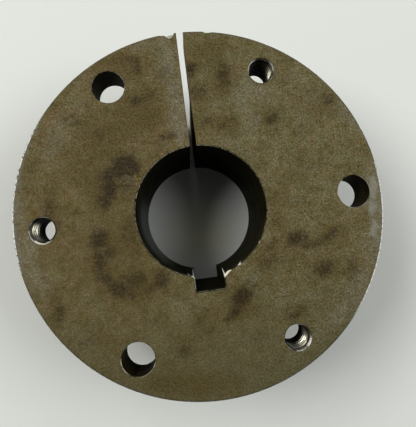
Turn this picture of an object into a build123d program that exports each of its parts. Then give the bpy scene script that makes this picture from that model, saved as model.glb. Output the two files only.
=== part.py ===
from build123d import *

import os
from math import cos, radians, sin

# Quick disconnect bushing: a split, flanged taper bushing with a keyed bore.
# It is one piece. The tapered barrel goes into a hub, screws through the flange draw it in,
# the slit lets it close on the shaft, and screws in the tapped holes push it off again.
#
# Frame: +Z is the bore's axis. The small end of the barrel lies on Z = 0 and the flange's
# face is on top. The slit runs along +Y and the keyway along -Y. Lengths are in mm.

INCH = 25.4

# Barrel. Its large end, at the flange, is the size that hubs are made to.
OVERALL_LENGTH = 1.3125 * INCH
TAPER_LARGE_DIAMETER = 2.1875 * INCH
TAPER_ON_DIAMETER = 0.75 / 12
BARREL_EDGE_BREAK = 0.5
BARREL_ROOT_RADIUS = 0.8

# Flange. It stands out around the barrel by the ring that its screws go through.
SCREW_RING_WIDTH = 0.5 * INCH
FLANGE_THICKNESS = 10.3
FLANGE_EDGE_BREAK = 0.45

# Bore, keyway and slit
BORE_DIAMETER = 1.125 * INCH
BORE_EDGE_BREAK = 0.25
KEY_WIDTH = 0.25 * INCH
KEYWAY_DEPTH = 2.95
SLIT_WIDTH = 1.45

# Holes in the flange: clearance holes and tapped holes take turns around one circle
HOLES_OF_A_KIND = 3
SCREW_DIAMETER = 0.25 * INCH
SCREW_CLEARANCE = 0.03125 * INCH
TAP_DRILL_DIAMETER = 0.201 * INCH
TAP_EDGE_BREAK = 0.4
CLEARANCE_EDGE_BREAK = 0.15
FIRST_CLEARANCE_HOLE_ANGLE = 0
FIRST_TAPPED_HOLE_ANGLE = 60

# Chips knocked out of the flange's top edge: angle around the axis in degrees, width, depth
RIM_CHIPS = (
    (93.3, 2.8, 0.9),
    (81.3, 2.6, 0.3),
    (20.3, 1.8, 0.35),
)

# Room that cutting tools run past the faces
OVERRUN = 1.0

flange_underside = OVERALL_LENGTH - FLANGE_THICKNESS
taper_large_radius = TAPER_LARGE_DIAMETER / 2
taper_small_radius = taper_large_radius - flange_underside * TAPER_ON_DIAMETER / 2
bolt_circle_radius = taper_large_radius + SCREW_RING_WIDTH / 2
flange_radius = taper_large_radius + SCREW_RING_WIDTH
bore_radius = BORE_DIAMETER / 2
hole_angle_step = 360 / HOLES_OF_A_KIND


def on_bolt_circle(angle, height):
    """A place on the bolt circle, which runs along the middle of the screw ring."""
    x = bolt_circle_radius * cos(radians(angle))
    y = bolt_circle_radius * sin(radians(angle))
    return Pos(x, y, height)


def turned_body():
    """The flange and the tapered barrel, as they come off the lathe, without the bore."""
    with BuildPart() as body:
        with BuildSketch(Plane.XZ):
            with BuildLine():
                Polyline(
                    (0, 0),
                    (taper_small_radius, 0),
                    (taper_large_radius, flange_underside),
                    (flange_radius, flange_underside),
                    (flange_radius, OVERALL_LENGTH),
                    (0, OVERALL_LENGTH),
                    close=True,
                )
            make_face()
        revolve(axis=Axis.Z)
        circles = body.edges().filter_by(GeomType.CIRCLE).group_by(Axis.Z)
        barrel_root, flange_lower_edge = circles[1].sort_by(SortBy.RADIUS)
        chamfer(circles[0], BARREL_EDGE_BREAK)
        chamfer([flange_lower_edge, *circles[-1]], FLANGE_EDGE_BREAK)
        fillet(barrel_root, BARREL_ROOT_RADIUS)
    return body.part


def broken_hole(radius, edge_break, bottom, top):
    """A round hole from bottom to top on the Z axis, with both its mouths chamfered."""
    height = top - bottom
    hole = Cylinder(radius, height + 2 * OVERRUN, align=(Align.CENTER, Align.CENTER, Align.MIN))
    hole = Pos(0, 0, bottom - OVERRUN) * hole
    reach = edge_break + OVERRUN
    lower = Cone(radius + reach, radius, reach, align=(Align.CENTER, Align.CENTER, Align.MIN))
    upper = Cone(radius, radius + reach, reach, align=(Align.CENTER, Align.CENTER, Align.MIN))
    return hole + Pos(0, 0, bottom - OVERRUN) * lower + Pos(0, 0, top - edge_break) * upper


def keyway():
    """The slot for the key: it opens into the bore and runs its full length."""
    slot = Box(
        KEY_WIDTH,
        bore_radius + KEYWAY_DEPTH,
        OVERALL_LENGTH + 2 * OVERRUN,
        align=(Align.CENTER, Align.MAX, Align.MIN),
    )
    return Pos(0, 0, -OVERRUN) * slot


def slit():
    """The cut that splits one side of the bushing, from the bore out through the rim."""
    cut = Box(
        SLIT_WIDTH,
        flange_radius + OVERRUN,
        OVERALL_LENGTH + 2 * OVERRUN,
        align=(Align.CENTER, Align.MIN, Align.MIN),
    )
    return Pos(0, 0, -OVERRUN) * cut


def flange_holes(first_angle, radius, edge_break):
    """One kind of hole through the flange, spread evenly around the bolt circle."""
    hole = broken_hole(radius, edge_break, 0, FLANGE_THICKNESS)
    angles = [first_angle + i * hole_angle_step for i in range(HOLES_OF_A_KIND)]
    return [on_bolt_circle(angle, flange_underside) * hole for angle in angles]


def rim_chips():
    """Dished chips in the flange's top edge."""
    chips = []
    for angle, width, depth in RIM_CHIPS:
        ball_radius = (width * width / 4 + depth * depth) / (2 * depth)
        distance = flange_radius - depth + ball_radius
        place = Pos(distance * cos(radians(angle)), distance * sin(radians(angle)), OVERALL_LENGTH)
        chips.append(place * Sphere(ball_radius))
    return chips


def bushing():
    """The whole bushing."""
    clearance_radius = (SCREW_DIAMETER + SCREW_CLEARANCE) / 2
    solid = turned_body()
    solid -= broken_hole(bore_radius, BORE_EDGE_BREAK, 0, OVERALL_LENGTH)
    solid -= keyway()
    solid -= slit()
    for hole in flange_holes(FIRST_CLEARANCE_HOLE_ANGLE, clearance_radius, CLEARANCE_EDGE_BREAK):
        solid -= hole
    for hole in flange_holes(FIRST_TAPPED_HOLE_ANGLE, TAP_DRILL_DIAMETER / 2, TAP_EDGE_BREAK):
        solid -= hole
    for chip in rim_chips():
        solid -= chip
    return solid


os.makedirs("parts", exist_ok=True)
export_step(bushing(), "parts/bushing.step")
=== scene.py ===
"""Quick disconnect bushing: one iron piece with its wear and finish, a pale floor, light and camera."""

from math import asin, ceil, cos, degrees, hypot, pi, radians, sin, sqrt, tan

import bmesh
import bpy
import numpy as np
from mathutils import Matrix, Vector, kdtree, noise
from mathutils.geometry import delaunay_2d_cdt


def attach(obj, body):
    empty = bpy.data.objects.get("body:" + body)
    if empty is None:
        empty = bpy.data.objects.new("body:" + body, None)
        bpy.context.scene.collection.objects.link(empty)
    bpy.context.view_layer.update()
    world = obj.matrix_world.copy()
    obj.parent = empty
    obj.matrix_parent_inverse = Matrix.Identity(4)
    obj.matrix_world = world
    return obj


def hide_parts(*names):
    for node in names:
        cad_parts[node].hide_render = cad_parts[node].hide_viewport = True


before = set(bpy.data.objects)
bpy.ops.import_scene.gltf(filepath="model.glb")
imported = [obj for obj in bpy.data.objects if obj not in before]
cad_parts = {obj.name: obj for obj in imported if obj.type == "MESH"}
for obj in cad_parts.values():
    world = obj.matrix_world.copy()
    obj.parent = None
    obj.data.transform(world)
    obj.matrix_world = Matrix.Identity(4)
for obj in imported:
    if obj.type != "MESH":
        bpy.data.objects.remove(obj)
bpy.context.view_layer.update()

# Without a seed Blender's vector noise, and with it the stains' borders, differs from run to run
noise.seed_set(5)

MM = 0.001
INCH = 25.4

# Sizes of the part in millimetres, the same as in the CAD model
LENGTH = 1.3125 * INCH
FLANGE_RADIUS = 1.59375 * INCH
FLANGE_THICKNESS = 10.3
FLANGE_EDGE = 0.45
UNDERSIDE = LENGTH - FLANGE_THICKNESS
BARREL_RADIUS = 1.09375 * INCH
TAPER = 0.75 / 24
ROOT_RADIUS = 0.8
BARREL_EDGE = 0.5
BORE_RADIUS = 0.5625 * INCH
BORE_EDGE = 0.25
KEY_HALF_WIDTH = 0.125 * INCH
KEY_FLOOR = BORE_RADIUS + 2.95
KEY_CORNER_RADIUS = 0.3
SLIT_HALF_WIDTH = 0.725
SLIT_EDGE = 0.1
# How much further right the slit's right wall stands at the rim than at the bore
SLIT_FLARE = 0.11
BOLT_CIRCLE_RADIUS = 1.34375 * INCH
CLEARANCE_RADIUS = 0.140625 * INCH
CLEARANCE_EDGE = 0.15
# Angle of each plain hole and the painted highlight arcs of its mouth: angle, half width in degrees,
# strength
CLEARANCE_HOLES = (
    (0, ((182, 14, 1.0), (150, 30, 0.45), (235, 30, 0.5), (20, 60, 0.35), (-60, 40, 0.3))),
    (120, ((30, 40, 0.22), (165, 40, 0.14), (-10, 12, 0.5))),
    (240, ((183, 16, 1.0), (213, 16, 0.7), (-27, 10, 0.8), (120, 40, 0.25), (290, 30, 0.25))),
)
# Each tapped hole: its angle, where its thread starts as a share of a turn, how its mouth sits off its
# axis, how far its lower end leans inwards, and the painted highlight arcs of its mouth and then of its
# thread
TAPPED_HOLES = (
    (60, 0.62, (0.16, 0.02), 0.50, ((140, 36, 1.2), (170, 22, 0.6), (10, 38, 0.6), (-38, 20, 0.4)),
     ((-8, 52, 0.72), (158, 32, 0.75))),
    (180, 0.12, (0.00, -0.16), 0.30, ((238, 72, 0.85), (100, 46, 0.5), (178, 18, 1.6), (150, 20, 0.7)),
     ((170, 40, 1.0), (215, 50, 0.5))),
    (300, 0.35, (0.18, -0.16), 0.32, ((-28, 24, 1.4), (258, 56, 0.55), (205, 16, 0.4), (70, 30, 0.25)),
     ((-38, 60, 0.85), (-105, 48, 0.45))),
)
TAP_DRILL_RADIUS = 0.1005 * INCH
TAP_MOUTH_RADIUS = TAP_DRILL_RADIUS + 0.45
TAP_CHAMFER = 0.36
THREAD_RADIUS = 0.125 * INCH
THREAD_PITCH = INCH / 20
# The thread's form: its depth and, along the axis, its flank, its root and its crest
THREAD_DEPTH = THREAD_RADIUS - TAP_DRILL_RADIUS
THREAD_FLANK = THREAD_DEPTH * tan(radians(30))
THREAD_ROOT = THREAD_PITCH / 8
THREAD_CREST = THREAD_PITCH - 2 * THREAD_FLANK - THREAD_ROOT
# Rows of the mesh in one turn of the thread: height above the crest's lower end, and a worn mark whose
# highest values pick the upward flank for its painted highlight
THREAD_MARKS = (
    (0, 0.15), (0.5 * THREAD_CREST, 0.2), (THREAD_CREST, 0.5), (THREAD_CREST + 0.5 * THREAD_FLANK, 0.5),
    (THREAD_CREST + THREAD_FLANK, 0.2), (THREAD_CREST + THREAD_FLANK + THREAD_ROOT, 0.0),
    (THREAD_CREST + 1.5 * THREAD_FLANK + THREAD_ROOT, 0.0),
)
# The thread's first and last rows keep this far from the face and from the rows at both ends
LIP = 0.06
THREAD_MARGIN = 0.04

# How fine the mesh is: degrees between its columns, then points around or along an edge
RIM_STEP = 0.72
BARREL_STEP = 1.25
BORE_POINTS = 200
SLIT_POINTS = 90
SHORT_EDGE_POINTS = 12
PLAIN_HOLE_POINTS = 84
TAPPED_HOLE_POINTS = 64
# Millimetres between the points inside a flat region, and the height of a row of them as a share of that
FACE_SPACING = 0.62
WALL_SPACING = 1.1
HIDDEN_SPACING = 1.2
ROW_SHARE = 0.866
# How many of the rim's rows, counted from the face, have the face's material
FACE_ROWS = 6

# What delaunay_2d_cdt gives back: every triangle out to the hull
ALL_TRIANGLES = 0

# Zones of the mesh, which are also its material slots
FACE, SIDE, CUT, HOLE, THREAD = 0, 1, 2, 3, 4


class Shell:
    """Points, faces, the zone of each face and how worn each point is."""

    def __init__(self):
        self.points = []
        self.worn = []
        self.bare_and_glint = []
        self.faces = []
        self.zones = []

    def add(self, points, worn=0.0):
        """Adds points and returns their numbers. A fourth number marks bare metal, and in the screw holes
        painted highlights.
        """
        first = len(self.points)
        self.points.extend(tuple(p[:3]) for p in points)
        self.worn.extend([worn] * len(points))
        self.bare_and_glint.extend(p[3] if len(p) > 3 else 0.0 for p in points)
        return list(range(first, len(self.points)))

    def face(self, corners, zone):
        """Adds a face, leaving out corners that fall together."""
        kept = [c for i, c in enumerate(corners) if c != corners[i - 1]]
        if len(set(kept)) > 2 and len(set(kept)) == len(kept):
            self.faces.append(kept)
            self.zones.append(zone)

    def bridge(self, a, b, zone, closed=False):
        """Joins two rows of as many points with four-sided faces."""
        for i in range(len(a) - (0 if closed else 1)):
            j = (i + 1) % len(a)
            self.face((a[i], a[j], b[j], b[i]), zone)

    def fill(self, loops, axes, zone, spacing, height=None, extra=()):
        """Fills the region between flat loops with triangles. Its inner points may lie at a height."""
        u, v = axes
        outline = [i for loop in loops for i in loop]
        flat = np.array([(self.points[i][u], self.points[i][v]) for i in outline])
        segments = []
        first = 0
        for loop in loops:
            segments += [(first + i, first + (i + 1) % len(loop)) for i in range(len(loop))]
            first += len(loop)
        near_extra = tree_of(extra)
        near_edge = tree_of(flat)
        inner = [tuple(e) for e in extra]
        for x, y in grid_within(flat, flat[np.array(segments)], spacing):
            if near_edge.find((x, y, 0))[2] < 0.6 * spacing:
                continue
            if extra and near_extra.find((x, y, 0))[2] < 0.5 * spacing:
                continue
            inner.append((x, y))
        level = self.points[outline[0]][3 - u - v]
        added = []
        for p in inner:
            point = [level + (height(*p) if height else 0.0)] * 3
            point[u], point[v] = p
            added.append(tuple(point))
        numbers = outline + self.add(added)
        sites = [Vector(p) for p in flat] + [Vector(p) for p in inner]
        made = delaunay_2d_cdt(sites, segments, [], ALL_TRIANGLES, 1e-7, True)
        source = [numbers[ids[0]] for ids in made[3]]
        walls = {frozenset(edge) for edge, given in zip(made[1], made[4]) if given}
        for t in inside_triangles(made[2], walls):
            self.face([source[i] for i in t], zone)


def tree_of(places):
    """A search tree of flat places."""
    tree = kdtree.KDTree(max(1, len(places)))
    for i, place in enumerate(places):
        tree.insert((place[0], place[1], 0), i)
    tree.balance()
    return tree


def grid_within(flat, ends, spacing):
    """The points of a triangle grid that lie inside an outline, given as the two ends of each segment."""
    low = flat.min(0)
    high = flat.max(0)
    height = spacing * ROW_SHARE
    grid = []
    for r in range(1, int((high[1] - low[1]) / height) + 1):
        for c in range(int((high[0] - low[0]) / spacing) + 1):
            grid.append((low[0] + (c + 0.5 * (r % 2)) * spacing, low[1] + r * spacing * ROW_SHARE))
    if not grid:
        return []
    grid = np.array(grid)
    count = np.zeros(len(grid), int)
    for part in np.array_split(np.arange(len(ends)), max(1, len(ends) // 200)):
        a = ends[part, 0]
        b = ends[part, 1]
        spans = (a[None, :, 1] > grid[:, None, 1]) != (b[None, :, 1] > grid[:, None, 1])
        rise = np.where(b[:, 1] == a[:, 1], 1.0, b[:, 1] - a[:, 1])
        cross = a[None, :, 0] + (grid[:, None, 1] - a[None, :, 1]) / rise * (b[:, 0] - a[:, 0])
        count += (spans & (grid[:, None, 0] < cross)).sum(1)
    return grid[count % 2 == 1]


def inside_triangles(triangles, walls):
    """The triangles inside an outline with holes, found by crossing its edges from the hull inwards."""
    sides = [[frozenset((t[i - 1], t[i])) for i in range(3)] for t in triangles]
    owners = {}
    for k, edges in enumerate(sides):
        for edge in edges:
            owners.setdefault(edge, []).append(k)
    inside = {found[0]: edge in walls for edge, found in owners.items() if len(found) == 1}
    queue = list(inside)
    while queue:
        k = queue.pop()
        for edge in sides[k]:
            for other in owners[edge]:
                if other not in inside:
                    inside[other] = inside[k] != (edge in walls)
                    queue.append(other)
    return [t for k, t in enumerate(triangles) if inside[k]]


def rough(x, y, z, scale, seed=0.0):
    """Smooth noise between about -1 and 1, with features of that scale in millimetres."""
    return noise.noise(Vector((x / scale + seed, y / scale - seed, z / scale + 2 * seed)))


def on_bolt_circle(angle):
    """Centre of the hole at an angle in degrees."""
    return (BOLT_CIRCLE_RADIUS * cos(radians(angle)), BOLT_CIRCLE_RADIUS * sin(radians(angle)))


def apart(degree, other):
    """How far apart two angles are, in degrees."""
    return abs((degree - other + 180) % 360 - 180)


def arc_steps(low, high, base, fine=()):
    """Angles from low to high, a base step apart, and closer inside the fine windows (from, to, step)."""
    angles = [low]
    while angles[-1] < high:
        step = base
        for start, end, close in fine:
            if start - 2 * base < angles[-1] < end:
                step = min(step, close)
        angles.append(angles[-1] + step)
    angles[-1] = high
    if angles[-1] - angles[-2] < 0.3 * base and len(angles) > 2:
        angles.pop(-2)
    return angles


# How much the whole rim has lost, in millimetres, and how far down from the face its chips may reach
RIM_WEAR = 0.012
CHIP_REACH = 3.0

# Chips in the top edge of the rim: angle, half width to the left, half width to the right, depth, height
RIM_CHIPS = (
    (93.3, 2.1, 1.7, 1.30, 1.4),
    (94.9, 2.2, 2.0, 0.42, 2.6),
    (81.6, 0.9, 2.4, 0.46, 1.6),
    (20.3, 1.2, 0.5, 0.24, 0.9),
    (17.9, 0.8, 0.8, 0.08, 0.6),
    (335.0, 0.9, 0.9, 0.08, 0.7),
)


def rim_radius(angle, z, radius):
    """Radius of the rim at an angle in degrees and a height, and how freshly broken the iron is there."""
    out = radius - RIM_WEAR
    broken = 0.0
    if z > LENGTH - CHIP_REACH:
        for at, left, right, depth, high in RIM_CHIPS:
            off = angle - at
            share = off / left if off > 0 else -off / right
            if share < 1:
                fall = max(0.0, 1 - (LENGTH - z) / high)
                bowl = (1 - share * share) ** (0.8 if off < 0 else 1.3)
                cut = depth * bowl * fall
                if cut > 0.02:
                    edge = 0.12 * rough(angle * 0.7, z, 0, 0.7, at) * min(1.0, depth) * bowl * fall
                    out = min(out, FLANGE_RADIUS + 0.02 - cut + edge)
                    broken = max(broken, min(1.0, 3 * cut) * (1.0 if depth > 0.1 else 0.3))
        x = radius * cos(radians(angle))
        y = radius * sin(radians(angle))
        near_edge = max(0.0, 1 - (LENGTH - z) / 1.2)
        wear = max(0.0, rough(x, y, 0, 0.9, 3.0)) ** 2 * 0.06
        out = min(out, radius - RIM_WEAR - wear * near_edge)
    return out, broken


def rounded_edge(radius, z, size, start, end, steps, turn):
    """Points (radius, height) of a rounded corner whose centre is at (radius, z)."""
    spots = []
    for i in range(steps + 1):
        a = radians(start + (end - start) * i / steps)
        spots.append((radius + size * cos(a), z + turn * size * sin(a)))
    return spots


def outer_profile():
    """Stations (radius, height, wear) down the outside, in two groups: the flange's rim and the barrel."""
    inner = FLANGE_RADIUS - FLANGE_EDGE
    rim = [(r, z, 1.0 if z < LENGTH else 0.3)
           for r, z in rounded_edge(inner, LENGTH - FLANGE_EDGE, FLANGE_EDGE, 90, 0, 5, 1)]
    z = LENGTH - FLANGE_EDGE
    while z > LENGTH - CHIP_REACH:
        z -= 0.22
        rim.append((FLANGE_RADIUS, z, 0.0))
    while z > UNDERSIDE + FLANGE_EDGE + 1.2:
        z -= 0.9
        rim.append((FLANGE_RADIUS, z, 0.0))
    rim += [(r, z, 1.0) for r, z in rounded_edge(inner, UNDERSIDE + FLANGE_EDGE, FLANGE_EDGE, 0, 90, 4, -1)]
    barrel = []
    centre = (BARREL_RADIUS + ROOT_RADIUS, UNDERSIDE - ROOT_RADIUS)
    for i in range(6):
        a = radians(90 + 90 * i / 5)
        barrel.append((centre[0] + ROOT_RADIUS * cos(a), centre[1] + ROOT_RADIUS * sin(a), 0.0))
    z = centre[1]
    while z > BARREL_EDGE + 1.0:
        z -= 0.75
        barrel.append((BARREL_RADIUS - (UNDERSIDE - z) * TAPER, z, 0.0))
    foot = BARREL_RADIUS - UNDERSIDE * TAPER - BARREL_EDGE
    barrel += [(r, z, 1.0) for r, z in rounded_edge(foot, BARREL_EDGE, BARREL_EDGE, 0, 90, 4, -1)]
    return rim, barrel


def slit_half(side, y):
    """How far the slit's left (-1) or right (1) wall stands from the middle at a distance from the axis."""
    share = (y - BORE_RADIUS) / (FLANGE_RADIUS - BORE_RADIUS)
    return SLIT_HALF_WIDTH + (SLIT_FLARE * share if side > 0 else 0.0)


def outer_row(shell, radius, z, angles, worn):
    """One row of the outside at that radius, from the slit's left side round to its right side."""
    points = []
    for k, angle in enumerate(angles):
        r, broken = rim_radius(angle, z, radius) if radius > BOLT_CIRCLE_RADIUS else (radius, 0.0)
        if z > LENGTH - 0.1:
            broken = 0.0
        if k in (0, len(angles) - 1):
            side = -1 if k == 0 else 1
            half = slit_half(side, r)
            points.append((side * half, sqrt(r * r - half * half), z, broken))
        else:
            points.append((r * cos(radians(angle)), r * sin(radians(angle)), z, broken))
    return shell.add(points, worn)


# The broken corners between bore and keyway: side, reach along the bore, along the keyway, down
KEY_CORNERS = ((1, 1.85, 1.15, 2.6), (-1, 0.85, 0.45, 1.0))
# How deep the sloping rim of a broken corner goes, and how much of the break it takes
CORNER_RIM = 0.35
CORNER_RIM_SHARE = 0.62

# Torn places along the mouth of the bore: angle in degrees, half width in degrees, size, how bare
BORE_BURRS = (
    (-61.5, 2.0, 0.16, 0.5), (-36, 2.0, 0.12, 0.3), (-22, 2.5, 0.12, 0.2), (33, 3.0, 0.10, 0.0),
    (-119, 2.5, 0.12, 0.2), (160, 6.0, 0.08, 0.0), (200, 5.0, 0.09, 0.0), (215, 4.0, 0.1, 0.0),
    (60, 5.0, 0.06, 0.0),
)

# Thin slivers of iron at the keyway's corners: how bare, then x, y, depth and width along the middle line
SLIVERS = (
    (1.0, (3.42, -15.70, 0.05, 0.05), (3.36, -15.05, 0.02, 0.34), (3.22, -14.20, 0.10, 0.26),
     (2.90, -12.95, 0.30, 0.03)),
    (0.50, (-3.35, -14.20, 0.05, 0.22), (-3.44, -13.55, 0.12, 0.14), (-3.40, -12.35, 0.30, 0.03)),
    (0.45, (-4.05, -14.05, 0.05, 0.18), (-4.35, -13.55, 0.12, 0.12), (-4.66, -13.02, 0.28, 0.03)),
    (0.55, (-3.60, -14.55, 0.03, 0.05), (-3.75, -14.15, 0.01, 0.40), (-3.85, -13.75, 0.06, 0.25)),
    (0.80, (6.15, -13.20, 0.05, 0.12), (6.60, -12.68, 0.05, 0.18), (7.15, -11.98, 0.15, 0.03)),
)


def file_corner(x, y, z, bare_and_glint):
    """Moves a point of the bore's outline back where a keyway corner is broken, and says if it is bare."""
    depth = LENGTH - z
    for side, along, into, down in KEY_CORNERS:
        if depth >= down or side * x < 0:
            continue
        if depth < CORNER_RIM:
            fall = 1 - CORNER_RIM_SHARE * depth / CORNER_RIM
        else:
            fall = (1 - CORNER_RIM_SHARE) * (1 - (depth - CORNER_RIM) / (down - CORNER_RIM))
        corner_x = side * KEY_HALF_WIDTH
        corner_y = -sqrt(BORE_RADIUS ** 2 - KEY_HALF_WIDTH ** 2)
        ax, ay = side * along * 0.97 * fall, along * 0.24 * fall
        bx, by = 0.0, -into * fall
        nx, ny = (by - ay) * side, -(bx - ax) * side
        size = hypot(nx, ny)
        nx, ny = nx / size, ny / size
        off = (x - corner_x - ax) * nx + (y - corner_y - ay) * ny
        part = ((x - corner_x - ax) * (bx - ax) + (y - corner_y - ay) * (by - ay)) / size ** 2
        if -0.02 < off < 1.0 and -0.1 < part < 1.15:
            x, y = x - max(0.0, off) * nx, y - max(0.0, off) * ny
            if depth <= CORNER_RIM:
                bare_and_glint = 1.0
    return (x, y, z, bare_and_glint)


def add_sliver(shell, bare_and_glint, *stations):
    """A thin bent burr with a three-sided section, as a small closed shell of its own."""
    rows = []
    for i, (x, y, depth, width) in enumerate(stations):
        before = stations[max(0, i - 1)]
        after = stations[min(len(stations) - 1, i + 1)]
        length = hypot(after[0] - before[0], after[1] - before[1])
        nx, ny = -(after[1] - before[1]) / length, (after[0] - before[0]) / length
        top = LENGTH - depth
        rows.append(shell.add([
            (x + 0.5 * width * nx, y + 0.5 * width * ny, top - 0.3 * width, bare_and_glint),
            (x, y, top, bare_and_glint),
            (x - 0.5 * width * nx, y - 0.5 * width * ny, top - 0.3 * width, bare_and_glint),
            (x, y, top - 0.9 * width - 0.02, bare_and_glint),
        ]))
    for a, b in zip(rows, rows[1:]):
        shell.bridge(a, b, CUT, closed=True)
    shell.face(rows[0], CUT)
    shell.face(rows[-1], CUT)


def bore_arc_point(degree, r, grow, seed):
    """A point of the bore's round part, torn near the mouth, with how bare it is."""
    a = radians(degree)
    torn = 0.0
    bare_and_glint = 0.0
    if grow > 0:
        x = r * cos(a)
        y = r * sin(a)
        ragged = 0.5 + 1.1 * max(0.0, cos(radians(degree + 38))) ** 2
        torn = ragged * grow * (rough(x, y, 0, 0.9, seed) + 0.5 * rough(x, y, 0, 0.4, seed))
        for where, wide, size, bright in BORE_BURRS:
            off = apart(degree, where) / wide
            if off < 1:
                torn += size * (1 - off * off) * grow / BORE_EDGE
                bare_and_glint = max(bare_and_glint, bright * (1 - off * off) * 1.6)
    return ((r + torn) * cos(a), (r + torn) * sin(a), min(1.0, bare_and_glint))


def keyway_wall(half, top, floor):
    """The right half of the keyway: its side, its inner corner and its floor up to the middle."""
    deep = floor - KEY_CORNER_RADIUS
    wall = [(half, top + (-deep - top) * i / 10) for i in range(11)]
    for i in range(1, 4):
        a = radians(-90 * i / 4)
        wall.append((half - KEY_CORNER_RADIUS * (1 - cos(a)), -deep + KEY_CORNER_RADIUS * sin(a)))
    base = half - KEY_CORNER_RADIUS
    return wall + [(base - base * i / 16, -floor) for i in range(17)]


def bore_outline(z, grow):
    """The bore with its keyway at height z, from the slit's right side clockwise to its left side."""
    r = BORE_RADIUS + grow
    half = KEY_HALF_WIDTH + grow
    floor = KEY_FLOOR + grow
    end = degrees(asin(half / r))
    arcs = {}
    slit_ends = {}
    for side, seed in ((1, 1.5), (-1, 7.5)):
        gap = slit_half(side, r)
        start = degrees(asin(gap / r))
        span = 180 - start - end
        arcs[side] = [bore_arc_point(90 - side * (start + span * i / BORE_POINTS), r, grow, seed)
                      for i in range(1, BORE_POINTS)]
        slit_ends[side] = [(side * gap, sqrt(r * r - gap * gap), 0.0)]

    def keyway_point(x, y, bare_and_glint):
        """Tears the edge of the keyway's floor at the mouths of the bore."""
        if y < 0.05 - floor:
            y -= 0.7 * grow * (0.6 + rough(x, 0, 0, 0.45, 5.0))
        return (x, y, bare_and_glint)

    wall = keyway_wall(half, -sqrt(r * r - half * half), floor)
    shine = 0.45 if grow > 0 else 0.0
    right = [keyway_point(x, y, 0.0) for x, y in wall]
    left = [keyway_point(-x, y, shine if y > 0.6 - floor else 0.0) for x, y in reversed(wall[:-1])]
    outline = slit_ends[1] + arcs[1] + right + left + arcs[-1][::-1] + slit_ends[-1]
    filed = [file_corner(x, y, z, bare_and_glint) for x, y, bare_and_glint in outline]
    return filed if z < LENGTH else [(x, y, z) for x, y, z, bare_and_glint in filed]


def arc_light(degree, arcs):
    """How bright the arcs of a mouth are at an angle, from 0 to 1."""
    share = 0.0
    for at, half, strength in arcs:
        off = apart(degree, at) / half
        share = max(share, strength * (1 - off * off))
    return min(1.0, share)


def mouth_stations(size, level, inwards, wears):
    """Stations (growth, height, wear) of a rounded mouth, from a face at a level to the hole's wall."""
    stations = []
    for k, wear in enumerate(wears):
        a = radians(30 * k)
        stations.append((size * (1 - sin(a)), level + inwards * size * (1 - cos(a)), wear))
    return stations


def clearance_hole(shell, angle, arcs):
    """A plain screw hole. Returns its loops in the face and in the flange's underside."""
    centre = on_bolt_circle(angle)
    stations = mouth_stations(CLEARANCE_EDGE, LENGTH, -1, (0.3, 0.8, 0.8, 0.0))
    steps = 12
    wall = FLANGE_THICKNESS - 2 * CLEARANCE_EDGE
    stations += [(0.0, LENGTH - CLEARANCE_EDGE - wall * i / steps, 0.0) for i in range(1, steps)]
    stations += reversed(mouth_stations(CLEARANCE_EDGE, UNDERSIDE, 1, (0.5, 0.5, 0.5, 0.5)))
    rows = []
    for grow, z, worn in stations:
        points = []
        for i in range(PLAIN_HOLE_POINTS):
            a = 2 * pi * i / PLAIN_HOLE_POINTS
            torn = 0.5 * grow * rough(cos(a) * 3, sin(a) * 3, 0, 0.6, angle * 0.1)
            r = CLEARANCE_RADIUS + grow + torn
            # Painted highlights: bright arcs on the mouth's rounded edge, kept with the bare metal values
            bright = arc_light(degrees(a), arcs) if LENGTH - CLEARANCE_EDGE < z < LENGTH else 0.0
            points.append((centre[0] + r * cos(a), centre[1] + r * sin(a), z, bright))
        rows.append(shell.add(points, worn))
    for a, b in zip(rows, rows[1:]):
        shell.bridge(a, b, HOLE, closed=True)
    return rows[0], rows[-1]


def thread_radius(turn, z, phase):
    """Radius of the inside thread at a share of a turn and a height: a 60 degree form with narrow flats."""
    at = (z / THREAD_PITCH - turn + phase) % 1.0 * THREAD_PITCH
    if at < THREAD_CREST:
        return TAP_DRILL_RADIUS
    if at < THREAD_CREST + THREAD_FLANK:
        return TAP_DRILL_RADIUS + THREAD_DEPTH * (at - THREAD_CREST) / THREAD_FLANK
    if at < THREAD_CREST + THREAD_FLANK + THREAD_ROOT:
        return THREAD_RADIUS
    return THREAD_RADIUS - THREAD_DEPTH * (at - THREAD_CREST - THREAD_FLANK - THREAD_ROOT) / THREAD_FLANK


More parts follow.
